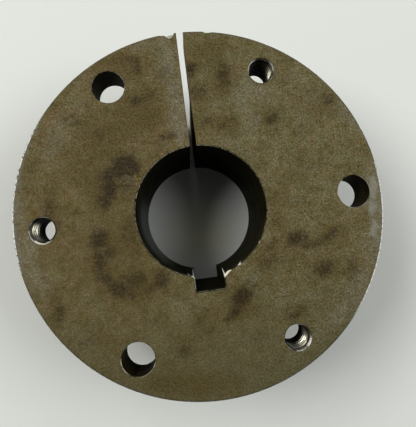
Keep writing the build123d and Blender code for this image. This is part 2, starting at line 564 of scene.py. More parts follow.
def tapped_hole(shell, angle, phase, mouth_shift, lean, mouth_arcs, thread_arcs):
    """A tapped hole with its real thread. Returns its loops in the face and in the flange's underside."""
    centre = on_bolt_circle(angle)
    chamfer_end = LENGTH - TAP_CHAMFER
    count = TAPPED_HOLE_POINTS

    def radius_at(turn, z):
        r = thread_radius(turn, z, phase)
        a = 2 * pi * turn
        mouth = TAP_MOUTH_RADIUS + mouth_shift[0] * cos(a) + mouth_shift[1] * sin(a) - (LENGTH - z)
        back = TAP_DRILL_RADIUS + 0.05 - (z - UNDERSIDE)
        fade = min(1.0, (LENGTH - z) / 0.7, (z - UNDERSIDE) / 0.7)
        r = TAP_DRILL_RADIUS + (r - TAP_DRILL_RADIUS) * (0.7 + 0.3 * max(0.0, fade))
        return max(r, mouth, back)

    def point(i, z):
        a = 2 * pi * i / count
        r = radius_at(i / count, z)
        leaning = 1 - lean * (LENGTH - z) / FLANGE_THICKNESS / BOLT_CIRCLE_RADIUS
        # Painted highlights: bright arcs on the mouth's chamfer and on the thread's flanks below it
        arcs = mouth_arcs if z > chamfer_end else thread_arcs
        bright = arc_light(degrees(a), arcs) if z < LENGTH else 0.0
        return (centre[0] * leaning + r * cos(a), centre[1] * leaning + r * sin(a), z, bright)

    ceiling = LENGTH - LIP
    top = shell.add([point(i, LENGTH) for i in range(count)], 0.3)
    lip = shell.add([point(i, ceiling) for i in range(count)], 1.0)
    bottom = shell.add([point(i, UNDERSIDE) for i in range(count)], 0.6)
    columns = []
    for i in range(count):
        column = []
        for turn in range(int(UNDERSIDE / THREAD_PITCH) - 3, int(LENGTH / THREAD_PITCH) + 3):
            for mark, wear in THREAD_MARKS:
                z = (turn + i / count - phase) * THREAD_PITCH + mark
                if z > ceiling - THREAD_MARGIN:
                    column.append(lip[i])
                elif z < UNDERSIDE + THREAD_MARGIN:
                    column.append(bottom[i])
                else:
                    column.append(shell.add([point(i, z)], 1.0 if z > chamfer_end else wear)[0])
        columns.append(column)
    # The last column meets the first one a turn further up
    per_turn = len(THREAD_MARKS)
    columns.append(columns[0][per_turn:] + [lip[0]] * per_turn)
    for here, there in zip(columns, columns[1:]):
        for k in range(len(here) - 1):
            shell.face((here[k], there[k], there[k + 1], here[k + 1]), THREAD)
    shell.bridge(top, lip, THREAD, closed=True)
    return top, bottom


# Small marks in the face: x, y, radius and depth in millimetres
PITS = (
    (28.8, 6.5, 0.5, 0.16), (23.5, 1.5, 0.3, 0.1), (16.1, 1.4, 0.3, 0.1), (19.4, 33.2, 0.35, 0.12),
    (21.7, 20.5, 0.3, 0.1), (-33.9, -13.0, 0.3, 0.12), (-16.3, -22.5, 0.3, 0.1), (14.9, -25.8, 0.3, 0.1),
    (-7.6, 31.4, 0.3, 0.12), (12.4, 24.6, 0.35, 0.1), (31.5, 12.0, 0.25, 0.1), (-24.1, 12.2, 0.25, 0.1),
    (5.8, -30.4, 0.25, 0.08), (-30.6, -24.1, 0.3, 0.1), (17.0, 12.6, 0.25, 0.1), (-13.4, -26.9, 0.25, 0.08),
)
# A round punch mark with a raised ring: x, y, ring radius, depth
PUNCH = (-25.9, 22.7, 1.25, 0.18)
# Scratches in the face: x and y of both ends, half width, depth
SCRATCHES = (
    (-29.4, 24.3, -28.1, 19.7, 0.16, 0.07), (9.7, 25.9, 10.5, 24.8, 0.14, 0.05),
    (11.2, 23.2, 12.0, 22.1, 0.14, 0.05),
)


def face_height(x, y):
    """How far the face lies under its highest level at a point, in millimetres, as a negative number."""
    h = -0.012 + 0.012 * rough(x, y, 0, 9.0, 2.0)
    for px, py, r, deep in PITS:
        d = hypot(x - px, y - py) / r
        if d < 1:
            h -= deep * (1 - d * d) ** 1.5
    px, py, r, deep = PUNCH
    d = hypot(x - px, y - py) / r
    if d < 1.6:
        h -= deep * max(0.0, 1 - ((d - 0.75) / 0.4) ** 2)
        h -= 0.05 * max(0.0, 1 - d * d)
    for ax, ay, bx, by, half, deep in SCRATCHES:
        length = hypot(bx - ax, by - ay)
        t = ((x - ax) * (bx - ax) + (y - ay) * (by - ay)) / length ** 2
        if 0 <= t <= 1:
            d = abs((x - ax) * (by - ay) - (y - ay) * (bx - ax)) / length / half
            h -= deep * max(0.0, 1 - d) * sin(pi * t) ** 0.5
    return min(h, 0.0)


def ring_spots(x, y, radius, rings):
    """A place and the rings of points around it, each ring given as a share of the radius and a count."""
    spots = [(x, y)]
    for share, count in rings:
        for i in range(count):
            a = 2 * pi * (i + share) / count
            spots.append((x + share * radius * cos(a), y + share * radius * sin(a)))
    return spots


def face_details():
    """Extra points of the face around its small marks."""
    spots = []
    for x, y, radius, deep in PITS:
        spots += ring_spots(x, y, radius, ((0.35, 6), (0.65, 8), (1.0, 10)))
    punch_rings = ((0.2, 6), (0.4, 12), (0.55, 16), (0.75, 22), (0.95, 26), (1.15, 30), (1.4, 30))
    spots += ring_spots(*PUNCH[:3], punch_rings)
    for ax, ay, bx, by, half, deep in SCRATCHES:
        length = hypot(bx - ax, by - ay)
        nx, ny = -(by - ay) / length, (bx - ax) / length
        count = ceil(length / 0.25)
        for i in range(count + 1):
            t = i / count
            for off in (-half, 0, half):
                spots.append((ax + t * (bx - ax) + off * nx, ay + t * (by - ay) + off * ny))
    return spots


def outside_rows(shell):
    """The turned outside. Returns the rows of points of the rim and of the barrel, from the top down."""
    rim, barrel = outer_profile()
    windows = []
    for at, left, right, depth, high in RIM_CHIPS:
        if depth > 0.1:
            windows.append((at - right - 0.4, at + left + 0.4, 0.16))
    windows += [(w[0] + 360, w[1] + 360, w[2]) for w in windows]
    gap = degrees(asin(SLIT_HALF_WIDTH / FLANGE_RADIUS))
    angles = [a - 360 if a > 360 else a for a in arc_steps(90 + gap, 450 - gap, RIM_STEP, windows)]
    rim_rows = [outer_row(shell, r, z, angles, worn) for r, z, worn in rim]
    for k, (a, b) in enumerate(zip(rim_rows, rim_rows[1:])):
        shell.bridge(a, b, FACE if k < FACE_ROWS else SIDE)
    gap = degrees(asin(SLIT_HALF_WIDTH / BARREL_RADIUS))
    angles = arc_steps(90 + gap, 450 - gap, BARREL_STEP)
    barrel_rows = [outer_row(shell, r, z, angles, worn) for r, z, worn in barrel]
    for a, b in zip(barrel_rows, barrel_rows[1:]):
        shell.bridge(a, b, SIDE)
    return rim_rows, barrel_rows


def bore_rows(shell):
    """The bore with its keyway. Returns its rows of points, from the top down."""
    stations = mouth_stations(BORE_EDGE, LENGTH, -1, (0.3, 0.9, 0.9, 0.3))
    z = LENGTH - BORE_EDGE
    while z > LENGTH - 2.2:
        z -= 0.2
        stations.append((0.0, z, 0.0))
    while z > BORE_EDGE + 1.2:
        z -= 1.0
        stations.append((0.0, z, 0.0))
    stations += reversed(mouth_stations(BORE_EDGE, 0.0, 1, (0.6, 0.6, 0.6, 0.6)))
    rows = [shell.add(bore_outline(z, grow), worn) for grow, z, worn in stations]
    for a, b in zip(rows, rows[1:]):
        shell.bridge(a, b, CUT)
    return rows


def slit_row(shell, start, end, z, side, count, edge=0.0, worn=0.0):
    """Points along an edge of the slit between two points that are there already."""
    y0 = shell.points[start][1]
    y1 = shell.points[end][1]
    row = []
    for i in range(1, count):
        t = i / count
        y = y0 + (y1 - y0) * t
        taper_off = min(1.0, 12 * t, 12 * (1 - t))
        wide = 0.3 + 1.9 * t ** 2 if side < 0 else 0.4
        wave = wide + 0.8 * rough(side * 2, y, 0, 0.7, 4.0)
        row.append((side * (slit_half(side, y) + edge * taper_off * max(0.1, wave)), y, z))
    return shell.add(row, worn)


def slit_wall(shell, side, rim, barrel, bore):
    """A wall of the slit between the ends of rows. Returns its edges in face, underside and foot."""
    face_edge = slit_row(shell, rim[0], bore[0], LENGTH, side, SLIT_POINTS, SLIT_EDGE, 0.3)
    wall_edge = slit_row(shell, rim[0], bore[0], LENGTH - SLIT_EDGE, side, SLIT_POINTS)
    shell.bridge([rim[0], *face_edge, bore[0]], [rim[0], *wall_edge, bore[0]], FACE)
    under_edge = slit_row(shell, rim[-1], barrel[0], UNDERSIDE, side, SHORT_EDGE_POINTS)
    foot_edge = slit_row(shell, barrel[-1], bore[-1], 0.0, side, SHORT_EDGE_POINTS)
    loop = rim + under_edge + barrel + foot_edge + bore[::-1] + wall_edge[::-1]
    level = shell.points[loop[0]][0]
    shell.fill([loop], (1, 2), CUT, WALL_SPACING, lambda y, z: side * slit_half(side, y) - level)
    return face_edge, under_edge, foot_edge


def build_bushing():
    """The whole bushing as one closed mesh."""
    shell = Shell()
    rim, barrel = outside_rows(shell)
    bore = bore_rows(shell)
    for sliver in SLIVERS:
        add_sliver(shell, *sliver)
    starts, ends = ([[row[k] for row in rows] for rows in (rim, barrel, bore)] for k in (0, -1))
    left = slit_wall(shell, -1, starts[0], starts[1], ends[2])
    right = slit_wall(shell, 1, ends[0], ends[1], starts[2])
    holes = [clearance_hole(shell, *hole) for hole in CLEARANCE_HOLES]
    holes += [tapped_hole(shell, *hole) for hole in TAPPED_HOLES]
    face_edge = rim[0] + right[0] + bore[0] + left[0][::-1]
    tops, bottoms = zip(*holes)
    shell.fill([face_edge, *tops], (0, 1), FACE, FACE_SPACING, face_height, face_details())
    under_edge = rim[-1] + right[1] + barrel[0][::-1] + left[1][::-1]
    shell.fill([under_edge, *bottoms], (0, 1), SIDE, HIDDEN_SPACING)
    foot_edge = barrel[-1] + right[2] + bore[-1] + left[2][::-1]
    shell.fill([foot_edge], (0, 1), SIDE, HIDDEN_SPACING)
    return shell


# Dark stains on the face: x, y, half length and half width in millimetres, turn in degrees, strength
STAINS = (
    (-15.4, 11.4, 2.9, 2.3, 15, 1.15), (-18.9, 10.0, 2.2, 1.8, 40, 0.9), (-19.1, 7.3, 2.3, 2.0, 75, 1.0),
    (-20.6, 4.4, 1.9, 1.3, 95, 0.85), (-17.0, 8.6, 1.8, 1.4, 0, 0.5), (-22.4, -3.4, 2.5, 1.9, 60, 0.82),
    (-20.6, -6.6, 1.7, 1.3, 30, 0.65), (-22.9, -8.2, 2.2, 1.3, 80, 0.75),
    (-22.2, -11.8, 2.0, 1.4, 110, 0.75), (-19.6, -14.4, 2.4, 1.6, 150, 0.8),
    (-16.3, -13.0, 2.5, 1.8, 10, 0.6), (-17.0, -16.0, 1.6, 1.1, 0, 0.65), (-10.2, -13.6, 1.5, 2.2, 0, 0.75),
    (-12.6, -15.2, 1.8, 1.2, 20, 0.5), (-16.0, -2.8, 1.8, 3.4, 0, 0.38), (-14.8, -6.4, 1.3, 2.2, 0, 0.35),
    (-32.4, 3.8, 1.1, 2.4, 0, 0.5), (-31.0, 0.8, 0.8, 1.2, 0, 0.35), (-32.5, -17.9, 1.2, 2.4, 0, 0.5),
    (-34.5, -8.7, 0.8, 1.8, 0, 0.3), (-7.0, -29.4, 1.3, 1.1, 0, 0.45), (-3.0, -23.4, 0.7, 0.6, 0, 0.35),
    (-1.6, -21.4, 0.8, 0.6, 0, 0.3), (-0.4, -25.6, 1.6, 0.7, 20, 0.3), (-27.0, -24.5, 1.6, 1.2, 0, 0.3),
    (-11.2, 26.0, 2.4, 1.0, -12, 0.62), (-8.0, 26.8, 1.3, 0.9, 0, 0.34), (-19.5, 19.3, 1.6, 1.0, 0, 0.4),
    (-9.9, 33.7, 0.9, 1.6, 0, 0.45), (-11.4, 35.2, 1.6, 1.2, 0, 0.35), (-5.4, 17.0, 2.5, 0.9, 12, 0.6),
    (1.6, 31.6, 0.9, 1.4, 0, 1.0), (2.2, 26.2, 1.8, 1.4, 0, 0.42), (8.6, 29.5, 1.3, 2.8, 0, 0.55),
    (4.4, 19.8, 1.0, 0.9, 0, 0.45), (6.8, 17.6, 1.1, 0.8, 0, 0.45), (9.2, 19.3, 0.9, 0.8, 0, 0.35),
    (18.4, 18.2, 1.5, 1.2, 30, 0.6), (31.4, 21.5, 1.1, 1.0, 0, 0.6), (23.3, 14.9, 1.3, 1.0, 0, 0.3),
    (25.4, 6.5, 0.8, 0.7, 0, 0.4), (6.6, -19.5, 2.9, 1.5, 52, 1.0), (4.4, -22.4, 2.2, 0.9, 50, 0.8),
    (20.0, -8.7, 1.8, 1.4, 10, 0.8), (27.8, -8.4, 2.6, 0.8, 28, 0.7), (22.4, -10.6, 1.8, 0.9, -10, 0.5),
    (25.0, -10.0, 1.6, 0.8, 10, 0.4), (14.6, -9.2, 2.2, 1.0, 15, 0.4), (12.8, -13.0, 2.8, 1.6, 35, 0.36),
    (24.8, -16.3, 1.9, 1.4, 10, 0.74), (31.5, -16.3, 0.8, 1.9, 0, 0.6), (31.0, -19.4, 0.9, 1.1, 0, 0.4),
    (16.6, -24.8, 1.4, 0.9, 0, 0.6), (19.0, -23.6, 1.0, 0.7, 0, 0.35), (-25.0, 22.1, 0.7, 0.45, 60, 0.55),
    (-26.4, 21.9, 0.6, 0.4, -40, 0.45), (-27.0, 23.1, 0.35, 0.6, 0, 0.4), (-25.6, 24.0, 0.8, 0.3, 0, 0.3),
    (-15.6, 8.0, 1.8, 2.4, 0, 0.55), (-15.4, 5.0, 1.1, 1.8, 0, 0.3), (-12.5, -35.6, 3.4, 1.3, -12, 0.2),
    (-4.4, 31.8, 1.7, 1.0, 18, 0.45), (-2.6, 28.4, 0.9, 0.7, 0, 0.3),
)
# Soft browner and darker clouds, in the same form
CLOUDS = (
    (-18.5, 18.5, 7.5, 4.5, 20, 0.9), (-24.5, 13.5, 4.0, 4.5, 0, 0.7), (-11.0, 22.5, 6.0, 4.5, 10, 1.0),
    (-12.5, 34.0, 4.5, 2.8, -15, 0.8), (-20.5, 5.0, 3.6, 7.5, 0, 0.7), (-21.5, -8.0, 4.2, 7.5, 0, 0.8),
    (-15.0, -14.5, 6.5, 3.6, -5, 0.8), (-16.0, -3.0, 3.2, 5.0, 0, 0.8), (-32.5, 3.0, 2.6, 5.5, 0, 0.7),
    (-33.0, -17.5, 2.5, 5.0, 0, 0.6), (-36.0, 12.0, 2.0, 5.0, -10, 0.5), (-28.0, 29.0, 3.0, 2.0, -40, 0.3),
    (5.0, 34.0, 3.5, 4.5, 0, 0.8), (8.0, 28.0, 3.5, 3.5, 0, 0.7), (3.5, 24.5, 2.6, 2.6, 0, 0.7),
    (6.5, 18.4, 4.0, 2.0, -10, 0.7), (17.0, 20.0, 2.8, 2.2, 0, 0.6), (31.0, 21.0, 3.0, 2.4, -30, 0.7),
    (15.5, -1.5, 1.8, 5.0, 0, 0.4), (21.0, -9.8, 6.0, 2.6, 0, 0.7), (29.0, -9.0, 3.5, 2.0, 25, 0.6),
    (13.5, -11.5, 4.0, 2.8, 20, 0.6), (26.0, -16.0, 4.5, 3.0, 0, 0.7), (32.0, -17.5, 2.0, 4.0, -10, 0.6),
    (5.5, -21.0, 4.0, 3.4, 40, 0.8), (17.5, -25.0, 3.5, 2.0, 20, 0.5), (-1.0, -24.0, 3.5, 3.0, 0, 0.5),
    (-7.0, -29.0, 3.5, 2.5, 0, 0.4), (-7.0, -36.0, 9.0, 2.6, -8, 0.8), (-22.0, -26.0, 5.0, 3.0, -35, 0.3),
    (-29.5, -8.0, 2.2, 3.0, 0, 0.3), (25.0, 7.0, 2.5, 2.0, 0, 0.3), (22.0, 28.0, 3.0, 1.6, -35, 0.3),
)
# Lighter worn places, in the same form
WORN = (
    (-3.4, 34.0, 2.2, 5.0, 0, 0.7), (-2.6, 25.0, 1.6, 5.5, 0, 0.85), (-2.5, 19.0, 1.5, 4.0, 0, 0.95),
    (-1.6, 15.6, 1.5, 1.2, 0, 0.7), (-9.0, 38.2, 6.0, 1.2, -13, 0.4), (-28.5, 20.5, 1.8, 5.5, -35, 0.45),
    (-38.6, 2.5, 1.2, 4.5, 0, 0.6), (-37.7, -4.0, 2.2, 4.5, 0, 0.75), (-36.6, -9.5, 1.7, 4.5, 20, 0.6),
    (-34.0, 3.5, 1.0, 2.5, 0, 0.2), (14.6, 25.4, 3.2, 1.5, -10, 0.7), (12.0, 23.2, 1.3, 3.2, 30, 0.7),
    (14.2, 27.6, 0.9, 2.0, 0, 0.6), (17.8, 24.9, 2.4, 0.9, 15, 0.6), (38.8, 0.4, 1.0, 3.4, 0, 0.9),
    (38.4, -3.4, 1.4, 3.4, -4, 1.0), (37.4, -9.8, 1.6, 3.6, -14, 0.8), (16.5, 22.6, 3.6, 1.2, -5, 0.4),
    (13.6, 18.0, 3.0, 1.6, 40, 0.45), (36.4, 15.6, 1.2, 3.8, 24, 0.8), (34.2, 19.4, 1.1, 1.8, 30, 0.5),
    (39.0, 1.5, 1.0, 3.6, 0, 0.6), (38.6, -5.0, 0.9, 3.4, 0, 0.5), (35.9, -12.5, 1.6, 4.2, -20, 0.6),
    (32.4, -20.0, 1.7, 4.5, -36, 0.7), (27.4, -25.9, 1.4, 3.6, -50, 0.65), (15.6, -19.4, 0.8, 0.8, 0, 0.6),
    (21.4, -21.4, 0.9, 0.9, 0, 0.6), (-4.0, -19.3, 1.5, 0.9, 0, 0.38), (-7.0, -20.5, 2.0, 3.0, 20, 0.22),
    (9.0, 13.4, 5.0, 1.1, -35, 0.3), (26.0, 24.0, 5.0, 2.6, -40, 0.15), (20.0, -31.0, 5.0, 1.2, 30, 0.3),
    (38.6, 0.6, 1.3, 3.6, 0, 1.45), (37.6, -4.2, 1.2, 2.4, -10, 1.35), (37.4, -9.0, 1.3, 2.6, -14, 1.2),
)


def painted(points, spots, seed):
    """How strongly soft, uneven ellipses cover each point of the face, from 0 to 1."""
    cover = np.zeros(len(points))
    bent = np.zeros((len(points), 2))
    for i, (x, y, z) in enumerate(points):
        if z > LENGTH - 0.6:
            slow = noise.noise_vector(Vector((x * 0.32 + seed, y * 0.32, seed)))
            quick = noise.noise_vector(Vector((x * 0.9, y * 0.9 + seed, seed)))
            bent[i] = (x + 0.7 * slow[0] + 0.5 * quick[0], y + 0.7 * slow[1] + 0.5 * quick[1])
        else:
            bent[i] = (1e3, 1e3)
    for x, y, long, wide, turn, strength in spots:
        c, s = cos(radians(turn)), sin(radians(turn))
        along = ((bent[:, 0] - x) * c + (bent[:, 1] - y) * s) / long
        across = ((bent[:, 1] - y) * c - (bent[:, 0] - x) * s) / wide
        share = np.clip((1.7 - np.hypot(along, across)) / 1.4, 0, 1)
        cover = np.maximum(cover, strength * share * share * (3 - 2 * share))
    return cover


def link_object(name, data):
    """Puts a new object with that data into the scene."""
    thing = bpy.data.objects.new(name, data)
    bpy.context.scene.collection.objects.link(thing)
    return thing


def new_object(name, shell, materials):
    """Turns the shell into an object in metres with consistent normals."""
    mesh = bpy.data.meshes.new(name)
    mesh.from_pydata([(x * MM, y * MM, z * MM) for x, y, z in shell.points], [], shell.faces)
    for material in materials:
        mesh.materials.append(material)
    mesh.polygons.foreach_set("material_index", shell.zones)
    masks = (("worn", shell.worn), ("bare_and_glint", shell.bare_and_glint), ("stain", painted(shell.points, STAINS, 3.0)),
             ("cloud", painted(shell.points, CLOUDS, 5.0)), ("rubbed", painted(shell.points, WORN, 8.0)))
    for label, values in masks:
        mesh.attributes.new(label, "FLOAT", "POINT").data.foreach_set("value", values)
    edit = bmesh.new()
    edit.from_mesh(mesh)
    bmesh.ops.recalc_face_normals(edit, faces=edit.faces)
    loose = [v for v in edit.verts if not v.link_faces]
    bmesh.ops.delete(edit, geom=loose, context="VERTS")
    edit.to_mesh(mesh)
    edit.free()
    mesh.shade_smooth()
    mesh.set_sharp_from_angle(angle=radians(32))
    return link_object(name, mesh)


# Sockets of a colour mix node, by number because several share a name
MIX_A, MIX_B, MIX_RESULT = 6, 7, 2


class Nodes:
    """Short ways to build a tree of shader nodes."""

    def __init__(self, tree):
        self.tree = tree

    def new(self, kind):
        return self.tree.nodes.new(kind)

    def put(self, value, socket):
        """Links a socket, or sets a constant."""
        if isinstance(value, bpy.types.NodeSocket):
            self.tree.links.new(value, socket)
        elif isinstance(value, tuple) and socket.type == "RGBA":
            socket.default_value = (*value, 1)
        else:
            socket.default_value = value

    def math(self, operation, a, b=None, clamp=False):
        node = self.new("ShaderNodeMath")
        node.operation = operation
        node.use_clamp = clamp
        self.put(a, node.inputs[0])
        if b is not None:
            self.put(b, node.inputs[1])
        return node.outputs[0]

    def plus(self, a, b, clamp=False):
        return self.math("ADD", a, b, clamp)

    def minus(self, a, b):
        return self.math("SUBTRACT", a, b)

    def product(self, *values):
        out = values[0]
        for value in values[1:]:
            out = self.math("MULTIPLY", out, value)
        return out

    def vector(self, operation, a, b=None, scale=None):
        node = self.new("ShaderNodeVectorMath")
        node.operation = operation
        self.put(a, node.inputs[0])
        if b is not None:
            self.put(b, node.inputs[1])
        if scale is not None:
            self.put(scale, node.inputs["Scale"])
        return node.outputs["Value" if operation in ("DISTANCE", "DOT_PRODUCT") else "Vector"]

    def joined(self, x, y, z):
        node = self.new("ShaderNodeCombineXYZ")
        for value, socket in zip((x, y, z), node.inputs):
            self.put(value, socket)
        return node.outputs[0]

    def split(self, vector):
        node = self.new("ShaderNodeSeparateXYZ")
        self.put(vector, node.inputs[0])
        return node.outputs

    def noise(self, scale, detail, roughness, where=None, shift=0.0):
        """Noise between 0 and 1. Scale is in features per millimetre, roughly."""
        node = self.new("ShaderNodeTexNoise")
        place = where if where is not None else self.place
        if shift:
            place = self.vector("ADD", place, (shift, -shift, 2 * shift))
        self.put(place, node.inputs["Vector"])
        self.put(scale, node.inputs["Scale"])
        self.put(detail, node.inputs["Detail"])
        self.put(roughness, node.inputs["Roughness"])
        return node.outputs["Fac"]

    def band(self, value, low, high, to_low=0.0, to_high=1.0, smooth=True):
        """Maps low to to_low and high to to_high, and stays there beyond."""
        node = self.new("ShaderNodeMapRange")
        node.interpolation_type = "SMOOTHSTEP" if smooth else "LINEAR"
        numbers = (value, low, high, to_low, to_high)
        for number, name in zip(numbers, ("Value", "From Min", "From Max", "To Min", "To Max")):
            self.put(number, node.inputs[name])
        return node.outputs["Result"]

    def mix(self, share, a, b, kind="MIX"):
        node = self.new("ShaderNodeMix")
        node.data_type = "RGBA"
        node.blend_type = kind
        self.put(share, node.inputs["Factor"])
        self.put(a, node.inputs[MIX_A])
        self.put(b, node.inputs[MIX_B])
        return node.outputs[MIX_RESULT]

    def attribute(self, name):
        node = self.new("ShaderNodeAttribute")
        node.attribute_name = name
        return node.outputs["Fac"]

    def bump(self, height, distance, strength):
        """A normal bent by a height. Distance is in millimetres."""
        node = self.new("ShaderNodeBump")
        self.put(strength, node.inputs["Strength"])
        self.put(distance * MM, node.inputs["Distance"])
        self.put(height, node.inputs["Height"])
        return node.outputs[0]


class Surface(Nodes):
    """A material with places in millimetres: x, y, z and the distance from the axis."""

    def __init__(self, name):
        self.material = bpy.data.materials.new(name)
        self.material.use_nodes = True
        super().__init__(self.material.node_tree)
        self.shader = self.tree.nodes["Principled BSDF"]
        self.place = self.vector("SCALE", self.new("ShaderNodeTexCoord").outputs["Object"], scale=1 / MM)
        self.x, self.y, self.z = self.split(self.place)
        square = self.plus(self.product(self.x, self.x), self.product(self.y, self.y))
        self.radius = self.math("SQRT", square)
        self.colour = None

    def stretched(self, sideways, upwards):
        """Places scaled for marks that run around the axis."""
        return self.vector("MULTIPLY", self.place, (sideways, sideways, upwards))

    def toward(self, degree, wide, full, to_low=0.0, to_high=1.0):
        """A band round the axis: nothing beyond the wide angle from a direction, all within the full one."""
        way = (cos(radians(degree)), sin(radians(degree)), 0.0)
        share = self.math("DIVIDE", self.vector("DOT_PRODUCT", self.place, way), self.radius)
        return self.band(share, cos(radians(wide)), cos(radians(full)), to_low, to_high)

    def paint(self, share, colour, kind="MIX"):
        """Lays another colour over the colour so far."""
        self.colour = self.mix(share, self.colour, colour, kind)

    def finish(self, roughness, normal, metal, specular):
        """Gives the shader its values and returns the material."""
        names = ("Base Color", "Roughness", "Normal", "Metallic", "Specular IOR Level")
        for value, name in zip((self.colour, roughness, normal, metal, specular), names):
            self.put(value, self.shader.inputs[name])
        return self.material


def patina(n, flat):
    """The face's olive brown: browner on the left, uneven in brightness and tint, and darker at the bottom
    as painted shade.
    """
    broad = n.noise(0.08, 2, 0.5, flat, 2.0)
    blotch = n.noise(0.22, 4, 0.6, flat, 7.0)
    browner = n.plus(n.band(n.x, 12.0, -14.0, 0.1, 0.7), n.product(n.minus(broad, 0.5), 1.6), True)
    n.colour = n.mix(browner, (0.1285, 0.1090, 0.0500), (0.1170, 0.0870, 0.0345))
    n.paint(n.band(blotch, 0.42, 0.66, 0.0, 0.6), (0.080, 0.061, 0.0165))
    n.paint(n.band(blotch, 0.44, 0.30, 0.0, 0.45), (0.143, 0.128, 0.061))
    redder = n.band(n.noise(0.42, 4, 0.7, flat, 52.0), 0.30, 0.70, 0.905, 1.095, False)
    bluer = n.band(n.noise(0.38, 4, 0.7, flat, 87.0), 0.30, 0.70, 0.83, 1.17, False)
    n.paint(1.0, n.joined(redder, 1.0, bluer), "MULTIPLY")
    mottle = n.band(n.noise(0.68, 2, 0.6, flat, 61.0), 0.30, 0.70, 0.0, 1.0, False)
    n.paint(1.0, n.mix(mottle, (0.82, 0.78, 0.63), (1.18, 1.22, 1.37)), "MULTIPLY")
    # Painted shade: the face darker towards the bottom
    n.paint(n.band(n.y, -10.0, -38.0, 0.0, 0.6), (0.073, 0.067, 0.031))


def stained(n, flat, grain):
    """Brown clouds and dark stains, with ragged borders that the grain breaks up."""
    stain = n.attribute("stain")
    cloud = n.attribute("cloud")
    ragged = n.product(n.minus(n.noise(0.7, 4, 0.7, flat, 14.0), 0.5), 1.3)
    cloudy = n.plus(cloud, n.product(ragged, n.band(cloud, 0.0, 0.4)), True)
    n.paint(n.product(cloudy, 0.72), (0.073, 0.051, 0.0125))
    patchy = n.plus(n.product(stain, 1.1), n.product(ragged, n.band(stain, 0.02, 0.3)), True)
    patchy = n.product(patchy, n.band(grain, 0.60, 0.40, 0.78, 1.0))
    n.paint(patchy, (0.0250, 0.0165, 0.0050))


def rubbed(n, flat, worn, polished):
    """Places rubbed to grey metal, and a few of them polished."""
    patches = n.product(worn, n.band(n.noise(0.8, 4, 0.75, flat, 12.0), 0.38, 0.62, 0.26, 1.08))
    n.paint(n.product(patches, 0.8), (0.175, 0.160, 0.112))
    n.paint(n.product(polished, 0.75), (0.205, 0.205, 0.160))


def speckled(n, flat, grain, worn, polished):
    """Speckle of the cast skin: grain, dark pores and small bright grains. Returns the pores."""
    fine = n.noise(2.7, 2, 0.6, flat, 5.0)
    light = n.band(n.plus(n.product(grain, 0.31), n.product(fine, 0.69)), 0.37, 0.63, 0.0, 1.0, False)
    calm = n.product(n.toward(-130.0, 85.0, 35.0, 1.0, 0.70), n.band(polished, 0.0, 1.0, 1.0, 0.5),
                     n.band(worn, 0.1, 0.9, 1.0, 0.74))
    n.paint(calm, n.mix(light, (0.52, 0.46, 0.12), (1.48, 1.54, 1.88)), "MULTIPLY")
    room = n.band(n.noise(0.10, 2, 0.5, flat, 44.0), 0.42, 0.60, 0.76, 0.67)
    room = n.minus(room, n.toward(140.0, 60.0, 25.0, 0.0, 0.03))
    room = n.minus(room, n.band(worn, 0.1, 0.9, 0.0, 0.05))
    pores = n.band(n.noise(2.1, 2, 0.6, flat, 21.0), room, n.plus(room, 0.07), 0.0, 0.6)
    n.paint(pores, (0.028, 0.021, 0.005))
    glints = n.product(n.band(n.noise(2.4, 1, 0.5, flat, 31.0), 0.66, 0.72),
                       n.plus(0.08, n.product(worn, 0.5), True))
    n.paint(glints, (0.40, 0.38, 0.31))
    return pores


def rim_line(n):
    """Painted highlight along the rim's edge, on the left and the lower right, and painted shade on the rest
    of that rounded edge. Returns where the highlight is.
    """
    left_part = n.toward(169.0, 28.0, 13.0)
    right_part = n.toward(-16.0, 30.0, 15.0)
    strip = n.product(n.math("MAXIMUM", left_part, n.product(right_part, 0.5)), n.band(n.radius, 38.9, 39.9),
                      n.band(n.noise(0.9, 3, 0.7, None, 27.0), 0.36, 0.56))
    n.paint(n.product(strip, 0.6), (0.150, 0.152, 0.125))
    # Painted shade on the rim's rounded edge
    edge = n.band(n.attribute("worn"), 0.35, 0.8)
    n.paint(n.product(edge, 0.5), (0.030, 0.024, 0.012))
    # Painted highlight on that edge, broken into dashes, where it faces the lamps on the left and the lower
    # right
    broken = n.band(n.noise(1.9, 3, 0.7, None, 15.0), n.band(right_part, 0.0, 1.0, 0.44, 0.26), 0.52)
    bright = n.product(edge, n.math("MAXIMUM", n.math("MAXIMUM", left_part, right_part), 0.06),
                       n.band(n.radius, 40.07, 40.16), broken)
    n.paint(bright, (0.90, 0.89, 0.85))
    return bright


def face_material():
    """The face: olive brown patina with speckle, stains and worn grey places, painted shade at the bottom,
    and edges with bare iron in their chips, painted shade and painted highlights.
    """
    n = Surface("iron_face")
    flat = n.joined(n.x, n.y, 0.0)
    grain = n.noise(1.5, 3, 0.7, flat, 3.0)
    worn = n.attribute("rubbed")
    polished = n.band(worn, 0.9, 1.35)
    patina(n, flat)
    stained(n, flat, grain)
    rubbed(n, flat, worn, polished)
    pores = speckled(n, flat, grain, worn, polished)
    bright = rim_line(n)
    n.paint(n.attribute("bare_and_glint"), (0.50, 0.46, 0.40))
    dull = n.plus(n.band(n.attribute("stain"), 0.0, 1.0, 0.54, 0.48), n.product(grain, 0.16))
    roughness = n.minus(dull, n.product(bright, 0.30))
    normal = n.bump(n.plus(n.product(grain, 0.6), n.product(pores, -0.6)), 0.05, 0.6)
    return n.finish(roughness, normal, 0.1, 0.13)


